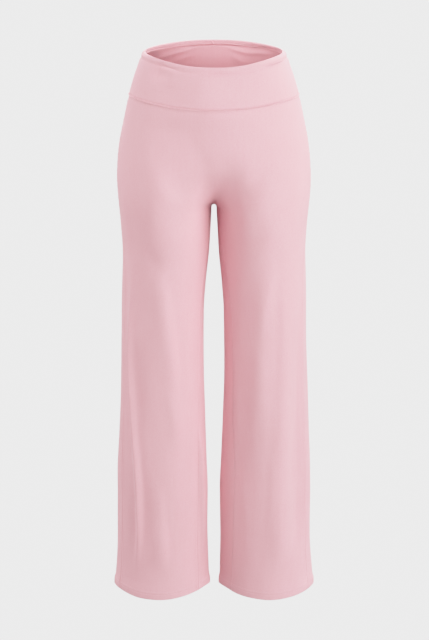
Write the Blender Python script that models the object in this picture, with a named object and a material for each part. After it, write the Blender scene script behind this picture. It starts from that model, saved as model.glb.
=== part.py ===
# Wide leg jersey leggings, filled out as if worn: a hollow hip tube under a high
# contoured waistband, which parts at the crotch into two hollow, slightly flared legs.
# The front faces -Y and the wearer's left leg is at +X. The origin is the middle of the
# waist opening, level with its rim at the sides. All sizes are in metres.

import math
from collections import namedtuple

import bpy
import numpy as np

CLOTH = 0.0012  # thickness of one layer of the jersey
SEAM_GAP = 0.0003
CROTCH_DROP = 0.2895  # waist rim at the side down to the crotch
HEM_DROP = 1.0415  # waist rim at the side down to the hem
BAND_DROP = 0.082  # waist rim at the side down to the seam under the waistband
ARCH_RADIUS = 0.0045  # the round top of the space between the legs
ROW_BLEND = 0.120  # reach above and below the crotch of the rows that bend round it

HEM_DEPTH = 0.015  # the turned and stitched edge of each leg
HEM_THICKNESS = 0.0026
HEM_STEP = 0.001  # length over which the turning ends
RIM_DEPTH = 0.009  # the waistband's top edge, rolled over its elastic
RIM_THICKNESS = 0.0033
RIM_ROUND = 0.0012
RIM_CROWN = 0.0009  # how far the crown of the roll lies in from each face
RIM_STEP = 0.0008

FRONT_COLUMNS = 14  # facets from the centre front or inseam to the side seam
BACK_COLUMNS = 16
HIP_ROWS = 7
LEG_ROWS = 15
BAND_ROWS = 3
FINE_STEPS = 360  # samples of a row before it is divided into its columns
SLOPE_STEP = 0.00001  # distance over which the surface's slope is measured
SHARP_ANGLE = 50  # degrees past which an edge is drawn sharp
FOLD_FADE = 0.7  # below 1, a fold keeps its height nearer to its ends
FOLD_TURN = 3  # how fast a fold fades where the cloth turns away from its face

# One level of the body, measured below the waist rim at the side. Each leg is an oval
# that runs on into the hips, where the two ovals lie across each other. outer is half
# the whole width, inner is where a leg's oval ends towards the middle, web is the radius
# that joins the two ovals above the crotch, front and back are the depths from the side
# seam's plane, corner is the exponent that makes an oval's ends rounder (2) or more
# pointed (towards 1), lean tips the level forward and dip lowers its front and its back.
Level = namedtuple("Level", "drop outer inner web front back corner lean dip")
LEVELS = (
    Level(0.000, 0.1275, -0.108, 0.010, 0.0935, 0.0935, 2.00, 0.0117, 0.0053),
    Level(0.004, 0.1314, -0.109, 0.011, 0.0950, 0.0945, 2.00, 0.0116, 0.0053),
    Level(0.010, 0.1348, -0.110, 0.012, 0.0962, 0.0955, 2.00, 0.0115, 0.0052),
    Level(0.025, 0.1400, -0.112, 0.014, 0.0988, 0.0975, 2.00, 0.0111, 0.0051),
    Level(0.055, 0.1502, -0.112, 0.020, 0.1030, 0.1020, 2.00, 0.0100, 0.0048),
    Level(0.082, 0.1574, -0.110, 0.026, 0.1062, 0.1065, 2.00, 0.0088, 0.0045),
    Level(0.130, 0.1676, -0.104, 0.035, 0.1100, 0.1145, 2.00, 0.0050, 0.0028),
    Level(0.170, 0.1753, -0.094, 0.035, 0.1112, 0.1200, 2.00, 0.0020, 0.0012),
    Level(0.206, 0.1792, -0.070, 0.028, 0.1107, 0.1220, 2.00, 0.0004, 0.0002),
    Level(0.240, 0.1806, -0.030, 0.018, 0.1088, 0.1198, 2.00, 0.0000, 0.0000),
    Level(0.270, 0.1793, -0.002, 0.0115, 0.1058, 0.1145, 2.00, 0.0000, 0.0000),
    Level(0.2895, 0.1776, 0.010, 0.010, 0.1035, 0.1095, 2.00, 0.0000, 0.0000),
    Level(0.320, 0.1749, 0.020, 0.010, 0.1000, 0.1010, 1.98, 0.0000, 0.0000),
    Level(0.378, 0.1721, 0.027, 0.010, 0.0943, 0.0895, 1.92, 0.0000, 0.0000),
    Level(0.436, 0.1736, 0.029, 0.010, 0.0896, 0.0812, 1.86, 0.0000, 0.0000),
    Level(0.495, 0.1753, 0.030, 0.010, 0.0858, 0.0757, 1.80, 0.0000, 0.0000),
    Level(0.573, 0.1770, 0.030, 0.010, 0.0820, 0.0715, 1.74, 0.0000, 0.0000),
    Level(0.652, 0.1787, 0.029, 0.010, 0.0790, 0.0698, 1.68, 0.0000, 0.0000),
    Level(0.732, 0.1816, 0.027, 0.010, 0.0768, 0.0697, 1.62, 0.0000, 0.0000),
    Level(0.812, 0.1850, 0.025, 0.010, 0.0753, 0.0708, 1.56, 0.0001, 0.0008),
    Level(0.893, 0.1861, 0.023, 0.010, 0.0745, 0.0722, 1.51, 0.0006, 0.0022),
    Level(0.975, 0.1878, 0.021, 0.010, 0.0744, 0.0738, 1.46, 0.0014, 0.0045),
    Level(1.018, 0.1910, 0.020, 0.010, 0.0751, 0.0752, 1.42, 0.0018, 0.0060),
    Level(1.033, 0.1938, 0.019, 0.010, 0.0765, 0.0768, 1.40, 0.0020, 0.0065),
    Level(1.0415, 0.1940, 0.019, 0.010, 0.0769, 0.0773, 1.40, 0.0020, 0.0065),
)

# Half the space between the legs below the crotch, and how many degrees round each
# oval its seams lie towards the front: the side seam from the oval's outer end, and the
# inseam of each leg from its inner end.
Seams = namedtuple("Seams", "drop gap side inseam_right inseam_left")
SEAMS = (
    Seams(0.082, 0.0045, 0.0, 0.0, 0.0),
    Seams(0.206, 0.0045, 1.0, 0.0, 0.0),
    Seams(0.2895, 0.0045, 6.0, 0.0, 0.0),
    Seams(0.301, 0.0047, 7.0, 2.0, 2.0),
    Seams(0.340, 0.0072, 12.0, 8.0, 10.0),
    Seams(0.378, 0.0094, 18.0, 14.0, 18.0),
    Seams(0.436, 0.0151, 25.0, 19.0, 27.0),
    Seams(0.495, 0.0188, 27.0, 23.0, 32.0),
    Seams(0.613, 0.0192, 27.0, 25.0, 35.0),
    Seams(0.692, 0.0172, 26.5, 27.0, 35.5),
    Seams(0.772, 0.0145, 27.5, 31.0, 39.0),
    Seams(0.853, 0.0110, 29.0, 34.0, 41.5),
    Seams(0.934, 0.0120, 29.5, 34.5, 40.0),
    Seams(1.016, 0.0108, 30.0, 35.0, 37.5),
    Seams(1.033, 0.0088, 31.0, 36.0, 37.0),
    Seams(1.0415, 0.0092, 31.0, 36.0, 36.5),
)

# The broad folds of the hanging cloth: a line down one face from (top, x_top) to
# (bottom, x_bottom), proud of the panel by height, or sunk where height is negative.
Fold = namedtuple("Fold", "face top x_top bottom x_bottom width height")
FOLDS = (
    Fold("front", 0.400, -0.158, 1.000, -0.142, 0.016, 0.0030),
    Fold("front", 0.690, -0.166, 0.920, -0.157, 0.012, -0.0030),
    Fold("front", 0.430, -0.092, 0.760, -0.055, 0.020, 0.0022),
    Fold("front", 0.560, -0.112, 0.860, -0.078, 0.018, -0.0022),
    Fold("front", 0.330, -0.132, 0.450, -0.100, 0.020, -0.0025),
    Fold("front", 0.430, 0.108, 0.880, 0.088, 0.024, 0.0030),
    Fold("front", 0.450, 0.126, 0.720, 0.124, 0.014, -0.0022),
    Fold("front", 0.460, 0.160, 1.000, 0.146, 0.014, 0.0028),
    Fold("back", 0.330, -0.120, 0.620, -0.085, 0.024, -0.0028),
    Fold("back", 0.520, -0.070, 0.980, -0.100, 0.022, 0.0030),
    Fold("back", 0.340, 0.110, 0.700, 0.072, 0.024, -0.0028),
    Fold("back", 0.560, 0.120, 0.990, 0.118, 0.020, 0.0028),
)

Finish = namedtuple("Finish", "color roughness")
FINISHES = {
    "front": Finish((0.78, 0.50, 0.56, 1.0), 0.85),
    "back_left": Finish((0.76, 0.48, 0.54, 1.0), 0.85),
    "back_right": Finish((0.75, 0.47, 0.53, 1.0), 0.85),
    "waistband_front": Finish((0.80, 0.52, 0.58, 1.0), 0.82),
    "waistband_back": Finish((0.79, 0.51, 0.57, 1.0), 0.82),
    "waistband_facing": Finish((0.73, 0.44, 0.50, 1.0), 0.88),
}


def read(table, column, at):
    """Smooth curve through one column of a table, read at the given drops."""
    places = np.array([row.drop for row in table])
    values = np.array([getattr(row, column) for row in table])
    steps = np.diff(places)
    slopes = np.diff(values) / steps
    same_way = slopes[:-1] * slopes[1:] > 0
    mean = 2 * slopes[:-1] * slopes[1:] / np.where(same_way, slopes[:-1] + slopes[1:], 1)
    tangents = np.concatenate([slopes[:1], np.where(same_way, mean, 0), slopes[-1:]])
    at = np.clip(at, places[0], places[-1])
    i = np.clip(np.searchsorted(places, at) - 1, 0, len(steps) - 1)
    t = (at - places[i]) / steps[i]
    rise = values[i] + (values[i + 1] - values[i]) * t * t * (3 - 2 * t)
    return rise + steps[i] * t * (1 - t) * (tangents[i] * (1 - t) - tangents[i + 1] * t)


def oval(drop):
    """Middle and half width of one leg's oval, and its web, at each drop."""
    inner = read(LEVELS, "inner", drop)
    below = np.clip((drop - CROTCH_DROP) / ARCH_RADIUS, 0, 1)
    gap = read(SEAMS, "gap", drop) * np.sqrt(below * (2 - below))
    parted = np.sqrt(np.maximum(inner**2 - gap**2, 0))
    web = np.where(drop < CROTCH_DROP, read(LEVELS, "web", drop), parted)
    outer = np.hypot(read(LEVELS, "outer", drop), web)
    return (outer + inner) / 2, (outer - inner) / 2, web


def start_angle(drop):
    """Angle at which a hip level meets the centre plane, half a turn in the legs."""
    middle, half, web = oval(drop)
    return np.arccos(np.clip((web - middle) / half, -1, 1))


def surface(angle, drop):
    """Points on the outer face of the left half: angle 0 is the side seam's plane."""
    middle, half, web = oval(drop)
    x = np.sqrt(np.maximum((middle + half * np.cos(angle)) ** 2 - web**2, 0))
    front, back = read(LEVELS, "front", drop), read(LEVELS, "back", drop)
    depth = np.where(np.sin(angle) > 0, -front, back)
    y = depth * np.abs(np.sin(angle)) ** (2 / read(LEVELS, "corner", drop))
    return np.stack([x, y, -drop], axis=-1)


def excess(x, y, drop):
    """Zero on the body's surface, positive outside it."""
    middle, half, web = oval(drop)
    depth = np.where(y < 0, read(LEVELS, "front", drop), read(LEVELS, "back", drop))
    across = (np.hypot(x, web) - middle) / half
    return across**2 + np.abs(y / depth) ** read(LEVELS, "corner", drop) - 1


def outward(points):
    """Unit normals of the body at points of the left half."""
    x, y, drop = points[..., 0], points[..., 1], -points[..., 2]
    x = np.maximum(x, 0)
    slope_x = excess(x + SLOPE_STEP, y, drop) - excess(np.abs(x - SLOPE_STEP), y, drop)
    slope_y = excess(x, y + SLOPE_STEP, drop) - excess(x, y - SLOPE_STEP, drop)
    slope_z = excess(x, y, drop - SLOPE_STEP) - excess(x, y, drop + SLOPE_STEP)
    slopes = np.stack([slope_x, slope_y, slope_z], axis=-1)
    return slopes / np.linalg.norm(slopes, axis=-1, keepdims=True)


def inner_drop(outer_drop):
    """Rows close up towards the crotch, so that they turn round it evenly."""
    away = outer_drop - CROTCH_DROP
    return CROTCH_DROP + away * min(1, abs(away) / ROW_BLEND)


def row(drop, inseam):
    """One row from the centre front, or the inseam, round to the back. It returns
    the fine points and the place in them of the side seam."""
    in_legs = drop >= CROTCH_DROP
    first = 1 - float(read(SEAMS, inseam, inner_drop(drop))) / 180 if in_legs else 1
    turn = np.linspace(first, first - 2, FINE_STEPS + 1)
    toward_inner = ((1 - np.cos(math.pi * turn)) / 2) ** 2
    level = drop + (inner_drop(drop) - drop) * toward_inner
    rough = start_angle(level) * turn
    lean = read(LEVELS, "lean", level) * np.sin(rough)
    level = level + lean + read(LEVELS, "dip", level) * np.sin(rough) ** 2
    angle = start_angle(level) * turn
    side = math.radians(float(read(SEAMS, "side", drop)))
    return surface(angle, level), np.interp(-side, -angle, np.arange(FINE_STEPS + 1))


def divided(points, start, end, parts):
    """Evenly spaced points along a stretch of a fine row."""
    steps = np.linalg.norm(np.diff(points, axis=0), axis=1)
    length = np.concatenate([[0], np.cumsum(steps)])
    count = np.arange(len(points))
    ends = np.interp([start, end], count, length)
    at = np.interp(np.linspace(*ends, parts + 1), length, count)
    return np.stack([np.interp(at, count, points[:, axis]) for axis in range(3)], axis=-1)


def grid(drops, part, inseam="inseam_left"):
    """Rows by columns of points on the left half's front or back."""
    rows = []
    for drop in drops:
        points, side = row(drop, inseam)
        if part == "front":
            rows.append(divided(points, 0, side, FRONT_COLUMNS))
        else:
            rows.append(divided(points, side, FINE_STEPS, BACK_COLUMNS))
    return np.array(rows)


def fold_height(points, normals):
    """How far the broad folds stand out at each point of the whole garment."""
    x, drop = points[..., 0], -points[..., 2]
    height = np.zeros(x.shape)
    for fold in FOLDS:
        facing = -normals[..., 1] if fold.face == "front" else normals[..., 1]
        along = (drop - fold.top) / (fold.bottom - fold.top)
        line = fold.x_top + (fold.x_bottom - fold.x_top) * along
        fade = np.sin(math.pi * np.clip(along, 0, 1)) ** FOLD_FADE
        fade *= np.clip(facing * FOLD_TURN, 0, 1)
        height += fold.height * fade * np.exp(-(((x - line) / fold.width) ** 2))
    return height


def toward(points, target, distance):
    """Points moved along the surface by a distance."""
    step = target - points
    return points + step * distance / np.linalg.norm(step, axis=-1, keepdims=True)


def eased_edges(points, columns):
    """The grid with its borders drawn in by half the seam gap. columns names the end
    columns that a seam follows."""
    eased = points.copy()
    for column in columns:
        neighbour = 1 if column == 0 else -2
        eased[:, column] = toward(points[:, column], points[:, neighbour], SEAM_GAP / 2)
    eased[0] = toward(eased[0], eased[1], SEAM_GAP / 2)
    return eased


def mirrored(vectors):
    return vectors * (-1, 1, 1)


def quads(index, flip):
    """Faces of a grid of vertex numbers, turned over for a mirrored grid."""
    a, b, c, d = index[:-1, :-1], index[1:, :-1], index[1:, 1:], index[:-1, 1:]
    corners = (a, d, c, b) if flip else (a, b, c, d)
    return np.stack([corner.ravel() for corner in corners], axis=-1).tolist()


def cloth_wall(name, points, normals, outer, inner, faces):
    """A closed wall between two offsets from the surface, one object and node."""
    count = len(points)
    lifted = points + normals * fold_height(points, normals)[:, None]
    faces_of_wall = lifted + normals * outer[:, None], lifted + normals * inner[:, None]
    vertices = np.concatenate(faces_of_wall)
    edges = {}
    for face in faces:
        for a, b in zip(face, face[1:] + face[:1]):
            edges[(a, b)] = True
    border = [(a, b) for a, b in edges if (b, a) not in edges]
    walls = [[b, a, a + count, b + count] for a, b in border]
    inside = [[corner + count for corner in reversed(face)] for face in faces]
    mesh = bpy.data.meshes.new(name)
    mesh.from_pydata(vertices.tolist(), [], faces + inside + walls)
    mesh.shade_smooth()
    mesh.set_sharp_from_angle(angle=math.radians(SHARP_ANGLE))
    mesh.materials.append(finish(name))
    bpy.context.collection.objects.link(bpy.data.objects.new(name, mesh))


def finish(name):
    material = bpy.data.materials.new(name)
    material.use_nodes = True
    shader = material.node_tree.nodes["Principled BSDF"]
    shader.inputs["Base Color"].default_value = FINISHES[name].color
    shader.inputs["Roughness"].default_value = FINISHES[name].roughness
    shader.inputs["Metallic"].default_value = 0.0
    return material


def panel_drops():
    """Levels of the panels' rows, from the waistband seam to the hem."""
    hips = np.linspace(BAND_DROP, CROTCH_DROP, HIP_ROWS + 1)
    hem_top = HEM_DROP - HEM_DEPTH
    legs = np.linspace(CROTCH_DROP, hem_top - HEM_STEP, LEG_ROWS + 1)
    return np.concatenate([hips, legs[1:], [hem_top, HEM_DROP]])


def panel_inner(drops):
    return np.where(drops >= HEM_DROP - HEM_DEPTH, -HEM_THICKNESS, -CLOTH)


def build_front():
    """One panel for both legs, with no centre seam: its two halves share the centre
    front column down to the crotch."""
    drops = panel_drops()
    shared = HIP_ROWS + 1
    sides = {}
    for side, inseam in (("left", "inseam_left"), ("right", "inseam_right")):
        whole = grid(drops, "front", inseam)
        eased = eased_edges(whole, [-1])
        eased[shared:, 0] = toward(whole[shared:, 0], whole[shared:, 1], SEAM_GAP / 2)
        eased[shared - 1, 0] = toward(whole[shared - 1, 0], whole[shared - 2, 0], SEAM_GAP / 2)
        sides[side] = eased, outward(whole)
    rows, columns = len(drops), FRONT_COLUMNS + 1
    index_left = np.arange(rows * columns).reshape(rows, columns)
    index_right = index_left + rows * columns
    index_right[:shared, 0] = index_left[:shared, 0]
    used = np.unique(np.concatenate([index_left.ravel(), index_right.ravel()]))
    place = np.zeros(2 * rows * columns, int)
    place[used] = np.arange(len(used))
    points, normals = (
        np.concatenate([left.reshape(-1, 3), mirrored(right).reshape(-1, 3)])
        for left, right in zip(sides["left"], sides["right"])
    )
    inner = np.tile(np.repeat(panel_inner(drops), columns), 2)
    faces = quads(place[index_left], False) + quads(place[index_right], True)
    cloth_wall("front", points[used], normals[used], np.zeros(len(used)), inner[used], faces)


def build_back(name, inseam, turned):
    """One of the two back panels, joined to the other at the centre back."""
    drops = panel_drops()
    whole = grid(drops, "back", inseam)
    eased = eased_edges(whole, [0, -1])
    crotch = HIP_ROWS
    eased[crotch, -1] = toward(eased[crotch, -1], whole[crotch - 1, -1], SEAM_GAP / 2)
    normals = outward(whole)
    if turned:
        eased, normals = mirrored(eased), mirrored(normals)
    index = np.arange(eased.shape[0] * eased.shape[1]).reshape(eased.shape[:2])
    inner = np.repeat(panel_inner(drops), eased.shape[1])
    cloth_wall(
        name, eased.reshape(-1, 3), normals.reshape(-1, 3), np.zeros(inner.shape), inner,
        quads(index, turned),
    )


def ring(drops, part):
    """A band grid right across the front or back, from one side seam to the other."""
    half = grid(drops, part)
    if part == "front":
        return np.concatenate([half[:, ::-1], mirrored(half[:, 1:])], axis=1)
    return np.concatenate([mirrored(half[:, :-1]), half[:, ::-1]], axis=1)


def ring_normals(points):
    turned = np.where(points[..., :1] < 0, -1, 1) * np.array([1, 0, 0]) + np.array([0, 1, 1])
    return outward(points * turned) * turned


def build_band(name, part):
    """The outer layer of the waistband, whose top edge rolls over to the inside."""
    drops = np.concatenate([
        [0, RIM_ROUND, RIM_DEPTH],
        np.linspace(RIM_DEPTH + RIM_STEP, BAND_DROP, BAND_ROWS + 1),
    ])
    outer = np.zeros(len(drops))
    inner = np.full(len(drops), -CLOTH)
    inner[1:3] = -RIM_THICKNESS
    outer[0], inner[0] = -RIM_CROWN, RIM_CROWN - RIM_THICKNESS
    whole = ring(drops, part)
    eased = whole.copy()
    eased[:, 0] = toward(whole[:, 0], whole[:, 1], SEAM_GAP / 2)
    eased[:, -1] = toward(whole[:, -1], whole[:, -2], SEAM_GAP / 2)
    eased[-1] = toward(eased[-1], eased[-2], SEAM_GAP / 2)
    normals = ring_normals(whole)
    index = np.arange(eased.shape[0] * eased.shape[1]).reshape(eased.shape[:2])
    cloth_wall(
        name, eased.reshape(-1, 3), normals.reshape(-1, 3),
        np.repeat(outer, eased.shape[1]), np.repeat(inner, eased.shape[1]), quads(index, True),
    )


def build_facing():
    """The inner layer of the waistband, one ring from under the roll to the seam."""
    top = RIM_DEPTH + RIM_STEP + SEAM_GAP
    drops = np.linspace(top, BAND_DROP, BAND_ROWS + 1)
    front, back = ring(drops, "front"), ring(drops, "back")
    whole = np.concatenate([front[:, :-1], back[:, :-1]], axis=1)
    whole[-1] = toward(whole[-1], whole[-2], SEAM_GAP / 2)
    normals = ring_normals(whole)
    rows, columns = whole.shape[:2]
    index = np.arange(rows * columns).reshape(rows, columns)
    index = np.concatenate([index, index[:, :1]], axis=1)
    outer = np.full(rows * columns, -CLOTH - SEAM_GAP)
    cloth_wall(
        "waistband_facing", whole.reshape(-1, 3), normals.reshape(-1, 3),
        outer, outer - CLOTH, quads(index, True),
    )


def main():
    for thing in list(bpy.data.objects):
        bpy.data.objects.remove(thing)
    build_front()
    build_back("back_left", "inseam_left", False)
    build_back("back_right", "inseam_right", True)
    build_band("waistband_front", "front")
    build_band("waistband_back", "back")
    build_facing()


main()
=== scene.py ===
import math
from collections import namedtuple

import bpy
import numpy as np
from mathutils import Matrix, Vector


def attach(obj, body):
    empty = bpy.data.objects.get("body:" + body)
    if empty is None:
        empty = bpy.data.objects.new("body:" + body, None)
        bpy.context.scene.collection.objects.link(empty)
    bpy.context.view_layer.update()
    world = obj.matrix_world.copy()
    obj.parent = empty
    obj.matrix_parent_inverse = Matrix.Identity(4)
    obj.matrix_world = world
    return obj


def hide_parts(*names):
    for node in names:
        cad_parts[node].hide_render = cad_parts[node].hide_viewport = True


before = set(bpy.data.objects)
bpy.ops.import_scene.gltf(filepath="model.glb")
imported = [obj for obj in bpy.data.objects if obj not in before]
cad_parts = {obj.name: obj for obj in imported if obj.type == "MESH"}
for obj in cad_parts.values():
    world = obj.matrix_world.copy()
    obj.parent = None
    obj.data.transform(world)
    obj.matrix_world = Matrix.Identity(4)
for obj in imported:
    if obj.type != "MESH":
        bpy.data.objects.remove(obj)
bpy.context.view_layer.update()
scene = bpy.context.scene
print("frame loaded:", ", ".join(sorted(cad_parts)))

# The body that the cloth lies on, with the same levels as the solids. The table's lengths
# are in millimetres and drops are measured down from the waist rim at the side. outer and
# inner are the ends of one leg's oval, web joins the two legs, and corner is the oval's
# power: 2 is a plain one and less is more pointed.
Level = namedtuple("Level", "drop outer inner web front back lean dip corner")
bodyLevels = [Level(*np.array(lengths) / 1000, corner) for *lengths, corner in (
    (0, 127.5, -108, 10, 93.5, 93.5, 11.7, 5.3, 2),
    (4, 131.4, -109, 11, 95, 94.5, 11.6, 5.3, 2),
    (10, 134.8, -110, 12, 96.2, 95.5, 11.5, 5.2, 2),
    (25, 140, -112, 14, 98.8, 97.5, 11.1, 5.1, 2),
    (55, 150.2, -112, 20, 103, 102, 10, 4.8, 2),
    (82, 157.4, -110, 26, 106.2, 106.5, 8.8, 4.5, 2),
    (130, 167.6, -104, 35, 110, 114.5, 5, 2.8, 2),
    (170, 175.3, -94, 35, 111.2, 120, 2, 1.2, 2),
    (206, 179.2, -70, 28, 110.7, 122, 0.4, 0.2, 2),
    (240, 180.6, -30, 18, 108.8, 119.8, 0, 0, 2),
    (270, 179.3, -2, 11.5, 105.8, 114.5, 0, 0, 2),
    (289.5, 177.6, 10, 10, 103.5, 109.5, 0, 0, 2),
    (320, 174.9, 20, 10, 100, 101, 0, 0, 1.98),
    (378, 172.1, 27, 10, 94.3, 89.5, 0, 0, 1.92),
    (436, 173.6, 29, 10, 89.6, 81.2, 0, 0, 1.86),
    (495, 175.3, 30, 10, 85.8, 75.7, 0, 0, 1.8),
    (573, 177, 30, 10, 82, 71.5, 0, 0, 1.74),
    (652, 178.7, 29, 10, 79, 69.8, 0, 0, 1.68),
    (732, 181.6, 27, 10, 76.8, 69.7, 0, 0, 1.62),
    (812, 185, 25, 10, 75.3, 70.8, 0.1, 0.8, 1.56),
    (893, 186.1, 23, 10, 74.5, 72.2, 0.6, 2.2, 1.51),
    (975, 187.8, 21, 10, 74.4, 73.8, 1.4, 4.5, 1.46),
    (1018, 191, 20, 10, 75.1, 75.2, 1.8, 6, 1.42),
    (1033, 193.8, 19, 10, 76.5, 76.8, 2, 6.5, 1.4),
    (1041.5, 194, 19, 10, 76.9, 77.3, 2, 6.5, 1.4),
)]

# the space between the legs, in millimetres, and the angles of the seams round each leg
Seams = namedtuple("Seams", "drop gap side inseamRight inseamLeft")
seamLevels = [Seams(drop / 1000, gap / 1000, *angles) for drop, gap, *angles in (
    (82, 4.5, 0, 0, 0),
    (206, 4.5, 1, 0, 0),
    (289.5, 4.5, 6, 0, 0),
    (301, 4.7, 7, 2, 2),
    (340, 7.2, 12, 8, 10),
    (378, 9.4, 18, 14, 18),
    (436, 15.1, 25, 19, 27),
    (495, 18.8, 27, 23, 32),
    (613, 19.2, 27, 25, 35),
    (692, 17.2, 26.5, 27, 35.5),
    (772, 14.5, 27.5, 31, 39),
    (853, 11, 29, 34, 41.5),
    (934, 12, 29.5, 34.5, 40),
    (1016, 10.8, 30, 35, 37.5),
    (1033, 8.8, 31, 36, 37),
    (1041.5, 9.2, 31, 36, 36.5),
)]

cut = {
    "crotch": 0.2895,  # drop of the crotch
    "hem": 1.0415,  # drop of the hem
    "bandSeam": 0.079,  # drop of the seam under the waistband
    "evenSag": 0.25,  # share of the waist's sag that grows evenly from the sides
    "frontPoint": 4.0,  # how suddenly the rest comes toward the centre front
    "backPoint": 3.5,
    "arch": 0.0045,  # radius at the top of the space between the legs
    "rowBlend": 0.12,  # reach of the rows that bend round the crotch
    "cloth": 0.0012,  # thickness of one layer
    "thinnest": 0.00002,  # least thickness of a panel's shell
    "seamGap": 0.0001,
    "seamRows": 0.01,  # depth of the close rows beside the waistband's seam
    "fineSteps": 540,  # samples of a row before it is divided into columns
}


def readColumn(table, column, at):
    # a smooth curve through one column of a table, which never overshoots its values
    places = np.array([row.drop for row in table])
    values = np.array([getattr(row, column) for row in table])
    steps = np.diff(places)
    slopes = np.diff(values) / steps
    sameWay = slopes[:-1] * slopes[1:] > 0
    mean = 2 * slopes[:-1] * slopes[1:] / np.where(sameWay, slopes[:-1] + slopes[1:], 1)
    tangents = np.concatenate([slopes[:1], np.where(sameWay, mean, 0), slopes[-1:]])
    at = np.clip(at, places[0], places[-1])
    i = np.clip(np.searchsorted(places, at) - 1, 0, len(steps) - 1)
    t = (at - places[i]) / steps[i]
    rise = values[i] + (values[i + 1] - values[i]) * t * t * (3 - 2 * t)
    return rise + steps[i] * t * (1 - t) * (tangents[i] * (1 - t) - tangents[i + 1] * t)


def body(drop, *columns):
    return [readColumn(bodyLevels, column, drop) for column in columns]


def legOval(drop):
    # middle and half width of one leg's oval, and the web that joins the two
    outer, inner, web = body(drop, "outer", "inner", "web")
    below = np.clip((drop - cut["crotch"]) / cut["arch"], 0, 1)
    gap = readColumn(seamLevels, "gap", drop) * np.sqrt(below * (2 - below))
    parted = np.sqrt(np.maximum(inner**2 - gap**2, 0))
    web = np.where(drop < cut["crotch"], web, parted)
    outer = np.hypot(outer, web)
    return (outer + inner) / 2, (outer - inner) / 2, web


def startAngle(drop):
    middle, half, web = legOval(drop)
    return np.arccos(np.clip((web - middle) / half, -1, 1))


def bodySurface(angle, drop):
    # points of the left half, with angle 0 at the side and positive angles in front
    middle, half, web = legOval(drop)
    front, back, corner = body(drop, "front", "back", "corner")
    x = np.sqrt(np.maximum((middle + half * np.cos(angle)) ** 2 - web**2, 0))
    y = np.where(np.sin(angle) > 0, -front, back) * np.abs(np.sin(angle)) ** (2 / corner)
    return np.stack([x, y, -drop], axis=-1)


def excess(x, y, drop):
    # below 0 inside the body, 0 on its surface and above 0 outside
    middle, half, web = legOval(drop)
    front, back, corner = body(drop, "front", "back", "corner")
    across = (np.hypot(x, web) - middle) / half
    return across**2 + np.abs(y / np.where(y < 0, front, back)) ** corner - 1


def outward(points):
    # unit normals of the body, also on its mirrored half
    side = np.where(points[..., 0] < 0, -1.0, 1.0)
    x, y, drop = np.abs(points[..., 0]), points[..., 1], -points[..., 2]
    step = 1e-5
    slopeX = excess(x + step, y, drop) - excess(np.abs(x - step), y, drop)
    slopeY = excess(x, y + step, drop) - excess(x, y - step, drop)
    slopeZ = excess(x, y, drop - step) - excess(x, y, drop + step)
    slopes = np.stack([slopeX * side, slopeY, slopeZ], axis=-1)
    return slopes / np.linalg.norm(slopes, axis=-1, keepdims=True)


def innerDrop(outerDrop):
    # rows bend toward the crotch between the legs
    away = outerDrop - cut["crotch"]
    return cut["crotch"] + away * min(1, abs(away) / cut["rowBlend"])


def fineRow(drop, inseam):
    # one row from the centre front, or the inseam, round to the back
    inLegs = drop >= cut["crotch"]
    first = 1 - readColumn(seamLevels, inseam, innerDrop(drop)) / 180 if inLegs else 1
    turn = np.linspace(first, first - 2, cut["fineSteps"] + 1)
    towardInner = ((1 - np.cos(math.pi * turn)) / 2) ** 2
    level = drop + (innerDrop(drop) - drop) * towardInner
    rough = startAngle(level) * turn
    swing = np.sin(rough)
    lean, dip = body(level, "lean", "dip")
    # the waist sags to a soft point in the middle, the hems in an even curve
    point = np.where(swing > 0, cut["frontPoint"], cut["backPoint"])
    reach = np.abs(swing)
    curve = cut["evenSag"] * reach + (1 - cut["evenSag"]) * reach**point
    waist = (lean * np.sign(swing) + dip) * curve
    level = level + np.where(level < cut["crotch"], waist, lean * swing + dip * swing**2)
    angle = startAngle(level) * turn
    side = math.radians(readColumn(seamLevels, "side", drop))
    return bodySurface(angle, level), np.interp(-side, -angle, np.arange(cut["fineSteps"] + 1))


# distances from a seam at which rows and columns lie, close together beside it
edgeSteps = np.array([0, 0.0005, 0.0011, 0.0018, 0.0027, 0.0038, 0.0052, 0.0072, 0.0098])


def lengthAlong(points):
    steps = np.linalg.norm(np.diff(points, axis=0), axis=1)
    return np.concatenate([[0], np.cumsum(steps)])


def readAt(at, places, values):
    return np.stack([np.interp(at, places, values[:, axis]) for axis in range(3)], axis=-1)


def readRow(drop, part, inseam, spacing):
    # one piece's stretch of a row, at the distances that spacing gives for its length
    points, side = fineRow(drop, inseam)
    ends = (0, side) if part == "front" else (side, cut["fineSteps"])
    length, order = lengthAlong(points), np.arange(len(points))
    low, high = np.interp(ends, order, length)
    along = spacing(high - low)
    return readAt(np.interp(low + along, length, order), order, points), along, high - low


def panelGrid(drops, part, inseam, count):
    def spacing(span):
        even = np.linspace(edgeSteps[-1], span - edgeSteps[-1], count + 1)[1:-1]
        return np.concatenate([edgeSteps, even, span - edgeSteps[::-1]])

    rows = [readRow(drop, part, inseam, spacing) for drop in drops]
    return np.array([r[0] for r in rows]), np.array([r[1] - r[2] / 2 for r in rows])


def drawnIn(points, target):
    # half of a seam's gap toward the points beside them
    step = target - points
    length = np.linalg.norm(step, axis=-1, keepdims=True)
    return points + step * (cut["seamGap"] / 2) / length


def easedGrid(whole, columns, row):
    # a grid drawn in from the seams along its outer columns and its first or last row
    beside = {0: 1, -1: -2}
    eased = whole.copy()
    for column in columns:
        eased[:, column] = drawnIn(whole[:, column], whole[:, beside[column]])
    eased[row] = drawnIn(eased[row], eased[beside[row]])
    return eased


def layers(whole, eased, outer, inner):
    # both faces of the cloth, at their heights over the body
    normals = outward(whole)
    return eased + normals * outer[..., None], eased + normals * inner[..., None]


def clothMap(across, levels):
    return np.stack([across, np.broadcast_to(-levels[:, None], across.shape)], axis=-1)


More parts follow.
